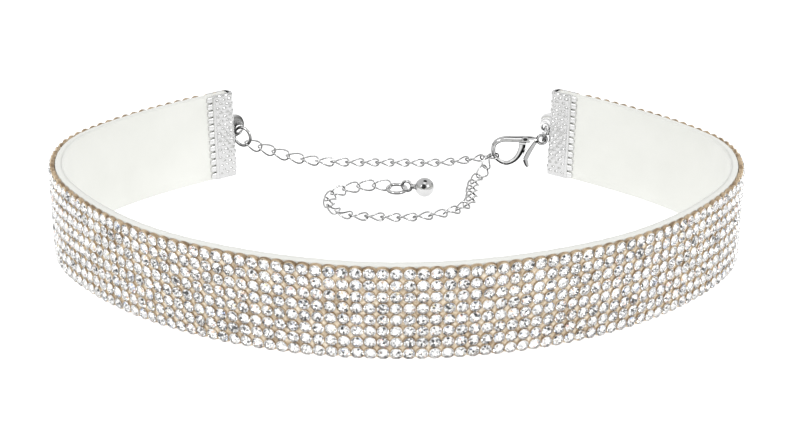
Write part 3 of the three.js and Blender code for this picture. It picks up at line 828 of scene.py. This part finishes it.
def crimp_ear(end):
    """The ear on the fold's back, a rounded plate with a hole for the jump ring."""
    around = turns(EAR_SIDES)
    rim, hole = (
        np.stack([x + radius * np.cos(around), y + radius * np.sin(around)], 1)
        for x, y, radius in (EAR_RIM, EAR_HOLE)
    )
    sides = EAR_PROFILE + [(share, -thick) for share, thick in reversed(EAR_PROFILE)]
    loops = []
    for share, thick in sides:
        x, y = (hole + (rim - hole) * share).T
        loops.append(end_point(end, np.maximum(x, -0.25), y, EAR_MIDDLE + thick))
    return np.concatenate(loops), grid_faces(len(loops), EAR_SIDES, close_rows=True, close_cols=True)


def crimp(end, name):
    leaves, leaf_kinds = crimp_leaves(end)
    pitch = CRIMP_HEIGHT / TEETH
    teeth = joined(
        [
            crimp_tooth(end, CRIMP_LIFT + (i + 0.5) * pitch, level, outward)
            for outward, level in [(-1.0, CRIMP_INNER), (1.0, CRIMP_OUTER)]
            for i in range(TEETH)
        ]
    )
    ear = crimp_ear(end)
    points, faces = joined([leaves, teeth, ear])
    tooth_kinds = np.full(len(teeth[1]), TOOTH_KIND)
    kinds = np.concatenate([leaf_kinds, tooth_kinds, np.full(len(ear[1]), EAR_KIND)])
    shell = points, inside_out(faces) if end < 0 else faces
    new_piece(name, shell, [PRESSED, EAR, DARK, TOOTH], [name], kinds=kinds)


# Chain and jump rings

LINK_REACH = 2.1
LINK_SPREAD = 1.2
LINK_TWIST = 0.5
LINK_WIRE = 0.19
LINK_STEPS = 40
RING_WIRE = 0.35
RING_STEPS = 64
RING_SIDES = 16
RING_RADIUS = 2.1
CLASP_RING_RADIUS = 1.55


def node_points(name):
    """Corners of a CAD node, in mm, each once."""
    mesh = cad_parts[name].data
    co = np.zeros(len(mesh.vertices) * 3, np.float32)
    mesh.vertices.foreach_get("co", co)
    return np.unique(np.round(co.reshape(-1, 3) / MM, 3), axis=0) + ORIGIN


def node_axes(name):
    """Middle of a link or ring and its axes, from the longest to the shortest, right-handed."""
    points = node_points(name)
    middle = points.mean(0)
    _, _, axes = np.linalg.svd(points - middle, full_matrices=False)
    axes[2] = np.cross(axes[0], axes[1])
    return middle, axes


def links(name, nodes):
    a = turns(LINK_STEPS)
    oval = np.stack([LINK_REACH * np.cos(a), LINK_SPREAD * np.sin(a), LINK_TWIST * np.sin(2 * a)], 1)
    runs, normals = [], []
    for node in nodes:
        middle, axes = node_axes(node)
        runs.append(middle + oval @ axes)
        normals.append(axes[2])
    shell = wire(np.array(runs), np.array(normals), LINK_WIRE)
    new_piece(name, shell, [STEEL], nodes)


def jump_ring(name, radius, level=0.0, drop=0.0):
    """A ring where the CAD has it; level turns it flatter and drop lowers it, in mm."""
    middle, axes = node_axes(name)
    upward = axes[2] * math.copysign(1, axes[2, 2])
    normal = unit(upward + level * UP)
    along = unit(np.cross([0, 1.0, 0], normal))
    across = np.cross(normal, along)
    a = turns(RING_STEPS)[:, None]
    run = middle - drop * UP + radius * (np.cos(a) * along + np.sin(a) * across)
    shell = wire(run[None], normal[None], RING_WIRE, RING_SIDES)
    new_piece(name + "_wire", shell, [STEEL], [name])


# Lobster clasp, in its own plane: u to the right, v up and w to the front

CLASP_CENTRE = np.array([24.522, 97.568, 4.182])
CASTING_VOXEL = 0.00006  # metres
SQUARENESS = 0.85  # of a bar's section: 1 is round and lower is squarer
# u, v, width and depth of each bar along its run
BOW = [
    (7.0, 2.95, 0.9, 1.0), (6.2, 3.1, 1.2, 1.6), (4.6, 3.25, 1.35, 2.1), (1.8, 3.3, 1.15, 2),
    (-0.6, 3.3, 1.1, 1.8), (-2.05, 2.85, 1.05, 1.5), (-2.95, 1.9, 0.95, 1.2), (-3.15, 0.7, 0.95, 1.1),
    (-2.95, -0.45, 0.9, 1.0), (-2.35, -1.45, 0.85, 1.05), (-1.45, -2.2, 0.84, 1.0),
    (-0.75, -2.55, 0.82, 0.88),
]
SIDE_BAR = [(6.3, 2.75, 0.8, 0.7), (5.5, 1.4, 0.95, 0.7), (4.78, 0.1, 1.05, 0.7), (4.12, -1.45, 1.05, 0.6)]
SIDE_BAR_AT = 0.85
GATE = [
    (3.45, 2.25, 1.3, 0.9), (3.45, 1.6, 1.45, 0.9), (3.32, 0.85, 1.38, 0.9), (2.92, -0.15, 1.2, 0.9),
    (2.37, -1.12, 1.06, 0.9), (1.67, -1.9, 0.96, 0.9), (0.87, -2.38, 0.9, 0.9), (0.05, -2.64, 0.86, 0.88),
    (-0.75, -2.56, 0.84, 0.88),
]
THUMB = [
    (3.7, 1.3, 0.45, 0.5), (3.85, 0.4, 0.45, 0.6), (3.98, -0.5, 0.6, 0.75), (4.05, -1.3, 0.95, 0.9),
    (4.2, -2.0, 1.05, 0.9), (4.5, -2.9, 0.9, 0.85), (4.75, -3.45, 0.5, 0.6),
]
# Outlines of the plates, and the depths between which the front one lies
COLLAR = [(2.55, 3.2), (2.65, 2.5), (2.78, 2.1), (4.05, 2.1), (4.3, 3.2)]
COLLAR_BACK, COLLAR_FRONT = 0.5, 0.95
CHEEK_GATE_SIDE = [(4.1, 3.4), (4.3, 1.95), (4.18, 1.2), (3.64, -0.2), (3.18, -1.15), (3.1, -1.6)]
CHEEK_THUMB_SIDE = [(3.9, -1.45), (4.6, 0.1), (5.3, 1.4), (5.9, 2.6), (5.9, 3.4)]
CHEEK_BACK, CHEEK_FRONT = 0.62, 0.98
CHEEK_INSET = 0.45  # how much narrower the back cheek is, so that it hides behind the front one
PIN = (4.0, 3.4)
BOSS_RADIUS, BOSS_FLAT, BOSS_BACK, BOSS_FRONT = 0.85, 0.62, 0.5, 1.06
HEAD_RADIUS, HEAD_FLAT, HEAD_BACK, HEAD_FRONT = 0.5, 0.65, 0.9, 1.1
END_LOOP = (7.8, 3.1, 1.05)  # u, v and radius
END_LOOP_WIRE = 0.34
LOOP_STEPS = 40  # round this loop and the ball's eye


def clasp_place(shell):
    """A shell with points (u, v, w) of the clasp, in the frame of the front centre."""
    points = np.asarray(shell[0], float)
    return CLASP_CENTRE + np.stack([points[..., 0], -points[..., 2], points[..., 1]], -1), shell[1]


def smooth_run(values, count):
    """Catmull-Rom through rows of values."""
    values = np.asarray(values, float)
    padded = np.concatenate([[2 * values[0] - values[1]], values, [2 * values[-1] - values[-2]]])
    t = np.linspace(0, len(values) - 1, count)
    i = np.minimum(t.astype(int), len(values) - 2)
    f = (t - i)[:, None]
    p0, p1, p2, p3 = (padded[i + k] for k in range(4))
    return 0.5 * (
        2 * p1 + (p2 - p0) * f + (2 * p0 - 5 * p1 + 4 * p2 - p3) * f**2 + (3 * p1 - p0 - 3 * p2 + p3) * f**3
    )


def bar(run, count=60, sides=20, depth_at=0.0, crest=0.0):
    """A rounded bar along rows of place, width and depth; crest is how far its ridge is off centre."""
    rows = smooth_run(run, count)
    path = unit(np.gradient(rows[:, :2], axis=0))
    out = np.stack([-path[:, 1], path[:, 0]], 1)
    a = turns(sides)
    across = -np.sign(np.sin(a)) * np.abs(np.sin(a)) ** SQUARENESS / 2 + crest * np.abs(np.cos(a)) ** 1.5
    deep = np.sign(np.cos(a)) * np.abs(np.cos(a)) ** SQUARENESS / 2
    points = []
    for (u, v, width, depth), (out_u, out_v) in zip(rows, out):
        section_u = u + out_u * across * width
        section_v = v + out_v * across * width
        points.append(np.stack([section_u, section_v, depth_at + deep * depth], 1))
    return np.concatenate(points), tube_faces(count, sides)


def slab(outline, low, high):
    """A plate between two depths from an outline that goes round counter-clockwise."""
    points = [(u, v, w) for w in (low, high) for u, v in outline]
    return points, tube_faces(2, len(outline))


def disc(u, v, radius, flat):
    """A disc's outline, with flat for its height as a share of its width."""
    return [(u + radius * math.cos(a), v + flat * radius * math.sin(a)) for a in turns(24)]


def clasp_piece(name, shells, material, nodes=(), body="choker", smooth=True):
    return new_piece(name, clasp_place(joined(shells)), [material], nodes, body, smooth)


def melted(piece):
    """Fuses a piece's shells and softens them as in a casting."""
    fuse = piece.modifiers.new("fuse", "REMESH")
    fuse.mode = "VOXEL"
    fuse.voxel_size = CASTING_VOXEL
    fuse.use_smooth_shade = True
    soften = piece.modifiers.new("soften", "SMOOTH")
    soften.factor = 0.5
    soften.iterations = 4


def clasp_body():
    shells = [bar(BOW, crest=0.26), slab(COLLAR, COLLAR_BACK, COLLAR_FRONT)]
    shells.append(slab(COLLAR, -COLLAR_FRONT, -COLLAR_BACK))
    melted(clasp_piece("clasp_casting", shells, CAST, ["clasp_body"]))


def clasp_cheeks():
    """The two plates that hold the lever."""
    front = slab(CHEEK_GATE_SIDE + CHEEK_THUMB_SIDE, CHEEK_BACK, CHEEK_FRONT)
    inset = [(u + CHEEK_INSET, v) for u, v in CHEEK_GATE_SIDE]
    back = slab(inset + CHEEK_THUMB_SIDE, -CHEEK_FRONT, -CHEEK_BACK)
    clasp_piece("clasp_cheeks", [front, back], PLATE, smooth=False)


def clasp_sides():
    """The raised bar along each cheek, the boss round the pin and the loop at the end."""
    shells = [bar(SIDE_BAR, 40, depth_at=side * SIDE_BAR_AT, crest=-0.2) for side in (-1, 1)]
    shells.append(slab(disc(*PIN, BOSS_RADIUS, BOSS_FLAT), BOSS_BACK, BOSS_FRONT))
    u, v, radius = END_LOOP
    a = turns(LOOP_STEPS)
    loop = np.stack([u + radius * np.cos(a), v + radius * np.sin(a), 0 * a], 1)
    shells.append(wire(loop[None], UP[None], END_LOOP_WIRE))
    melted(clasp_piece("clasp_sides", shells, SIDE))


def clasp_pin():
    head = slab(disc(*PIN, HEAD_RADIUS, HEAD_FLAT), HEAD_BACK, HEAD_FRONT)
    clasp_piece("clasp_pin", [head], DARK, smooth=False)


def clasp_lever():
    """The gate and the thumb piece, which turn together."""
    gate = bar(GATE, crest=-0.3)
    melted(clasp_piece("clasp_thumb_lever", [gate], CAST, ["clasp_lever"], "lever"))
    thumb = bar(THUMB, 30, crest=0.2)
    melted(clasp_piece("clasp_thumb", [thumb], SIDE, body="lever"))


# Ball at the loose end

BALL = np.array([5.9, 80.6, 2.1])
BALL_RADIUS = 2.1
BALL_SIDES = 48
NECK_ANGLE = 0.36  # radians from the ball's axis to where the neck starts
EYE = np.array([2.05, 82.18, 1.8])
EYE_RADIUS = 1.1
EYE_WIRE = 0.34


def end_ball():
    """The ball, a neck on the side of its eye, and the eye."""
    towards = unit(EYE - BALL)
    across = unit(np.cross(UP, towards))
    lift = np.cross(towards, across)
    reach = np.linalg.norm(EYE - BALL) - EYE_RADIUS
    neck = [(2.12, 0.7), (2.3, 0.62), (reach - 0.1, 0.5), (reach + 0.15, 0.4)]
    profile = [
        (BALL_RADIUS * math.cos(a), BALL_RADIUS * math.sin(a)) for a in np.linspace(math.pi, NECK_ANGLE, 40)
    ]
    profile += neck
    a = turns(BALL_SIDES)[:, None]
    skin = [BALL + at * towards + r * (np.cos(a) * across + np.sin(a) * lift) for at, r in profile]
    ball = np.concatenate(skin), inside_out(grid_faces(len(profile), BALL_SIDES, close_cols=True))
    a = turns(LOOP_STEPS)[:, None]
    run = EYE + EYE_RADIUS * (np.cos(a) * towards + np.sin(a) * lift)
    points, faces = joined([ball, wire(run[None], across[None], EYE_WIRE)])
    past_ball = np.arange(len(faces)) >= BALL_SIDES * (len(profile) - len(neck))
    new_piece("ball_drop", (points, faces), [BRIGHT, STEEL], ["end_ball"], kinds=past_ball)


# Floor, light and camera

FLOOR_HALF = 3.0  # metres
# The tent's brightness from the horizon up, by the height of a direction
TENT_STOPS = [(0.0, 0.45), (0.06, 0.55), (0.2, 1.0), (0.5, 1.08), (1.0, 0.95)]
# Each dark opening: its direction, and how much a direction agrees with it where it starts and is full
TENT_OPENINGS = [((0.0, -0.99, 0.14), 0.965, 0.985), ((0.1, 0.2, 0.97), 0.94, 0.965)]
OPENING_TONE = 0.03

SENSOR = 36.0  # mm
PHOTO_WIDTH = 800  # pixels
FOCAL = 1998.5  # pixels
SHIFT = 36.34  # pixels
TILT = math.radians(22.85)
YAW = 0.00728  # radians
ROLL = 0.00338  # radians
CAMERA_AT = (0.003541, -0.375197, 0.158605)  # metres


def floor():
    """A pale table that glows a little, as the photo's ground is white."""
    r = FLOOR_HALF
    mesh = bpy.data.meshes.new("floor")
    mesh.from_pydata([(-r, -r, 0), (r, -r, 0), (r, r, 0), (-r, r, 0)], [], [(0, 1, 2, 3)])
    piece = bpy.data.objects.new("floor", mesh)
    bpy.context.scene.collection.objects.link(piece)
    shader = Shader("white_table", Roughness=0.9, Emission_Strength=0.9)
    shader.surface.inputs["Emission Color"].default_value = (1, 1, 1, 1)
    shader.paint(shader.noise(3, detail=2), [(0.3, grey(0.4)), (0.7, grey(0.42))])
    mesh.materials.append(shader.material)


def softbox(name, place, target, size, power):
    data = bpy.data.lights.new(name, "AREA")
    data.shape = "SQUARE"
    data.size = size
    data.energy = power
    lamp = bpy.data.objects.new(name, data)
    lamp.location = place
    aim = Vector(target) - Vector(place)
    lamp.rotation_mode = "QUATERNION"
    lamp.rotation_quaternion = aim.to_track_quat("-Z", "Y")
    bpy.context.scene.collection.objects.link(lamp)


def tent():
    """A light tent: bright walls and ceiling, darker near the horizon, and two dark openings."""
    world = bpy.data.worlds.new("studio")
    world.use_nodes = True
    tree = world.node_tree
    toward = tree.nodes.new("ShaderNodeTexCoord").outputs["Generated"]
    split = tree.nodes.new("ShaderNodeSeparateXYZ")
    tree.links.new(toward, split.inputs["Vector"])
    light = colour_ramp(tree, split.outputs["Z"], [(at, grey(value)) for at, value in TENT_STOPS])
    for direction, start, full in TENT_OPENINGS:
        stops = [(start, grey(1.0)), (full, grey(OPENING_TONE))]
        mask = colour_ramp(tree, facing(tree, toward, direction), stops)
        mix = tree.nodes.new("ShaderNodeMix")
        mix.data_type = "RGBA"
        mix.blend_type = "MULTIPLY"
        mix.inputs["Factor"].default_value = 1
        tree.links.new(light, mix.inputs["A"])
        tree.links.new(mask, mix.inputs["B"])
        light = mix.outputs["Result"]
    tree.links.new(light, tree.nodes["Background"].inputs["Color"])
    bpy.context.scene.world = world


def camera():
    """The photo's camera: its place, its turn and its focal length."""
    data = bpy.data.cameras.new("camera")
    data.sensor_width = SENSOR
    data.lens = FOCAL / PHOTO_WIDTH * SENSOR
    data.shift_y = SHIFT / PHOTO_WIDTH
    data.clip_start, data.clip_end = 0.01, 20
    item = bpy.data.objects.new("camera", data)
    ahead = Vector((-math.sin(YAW) * math.cos(TILT), math.cos(YAW) * math.cos(TILT), -math.sin(TILT)))
    right = ahead.cross(Vector((0, 0, 1))).normalized()
    above = right.cross(ahead)
    turned_right = right * math.cos(ROLL) + above * math.sin(ROLL)
    turned_above = above * math.cos(ROLL) - right * math.sin(ROLL)
    turn = Matrix((turned_right, turned_above, -ahead)).transposed().to_4x4()
    item.matrix_world = Matrix.Translation(CAMERA_AT) @ turn
    bpy.context.scene.collection.objects.link(item)
    bpy.context.scene.camera = item


lining()
backing()
cups()
webs()
stones()
crimp(-1, "ribbon_crimp_left")
crimp(1, "ribbon_crimp_right")
links("chain", [f"chain_link_{i:02d}" for i in range(1, 18)])
links("loose_chain", [f"tail_link_{i:02d}" for i in range(1, 24)])
jump_ring("jump_ring_left", RING_RADIUS)
jump_ring("jump_ring_right", CLASP_RING_RADIUS)
jump_ring("jump_ring_tail", RING_RADIUS, level=1.5, drop=0.15)
clasp_body()
clasp_cheeks()
clasp_sides()
clasp_pin()
clasp_lever()
end_ball()
floor()
tent()
softbox("overhead", (0.0, -0.25, 0.8), (0, 0, 0), size=0.35, power=0.35)
softbox("front_left", (-0.55, -0.6, 0.5), (0, 0, 0.01), size=0.3, power=1.7)
softbox("front_right", (0.6, -0.5, 0.45), (0, 0, 0.01), size=0.3, power=1.7)
camera()
bpy.context.scene.view_settings.view_transform = "Standard"
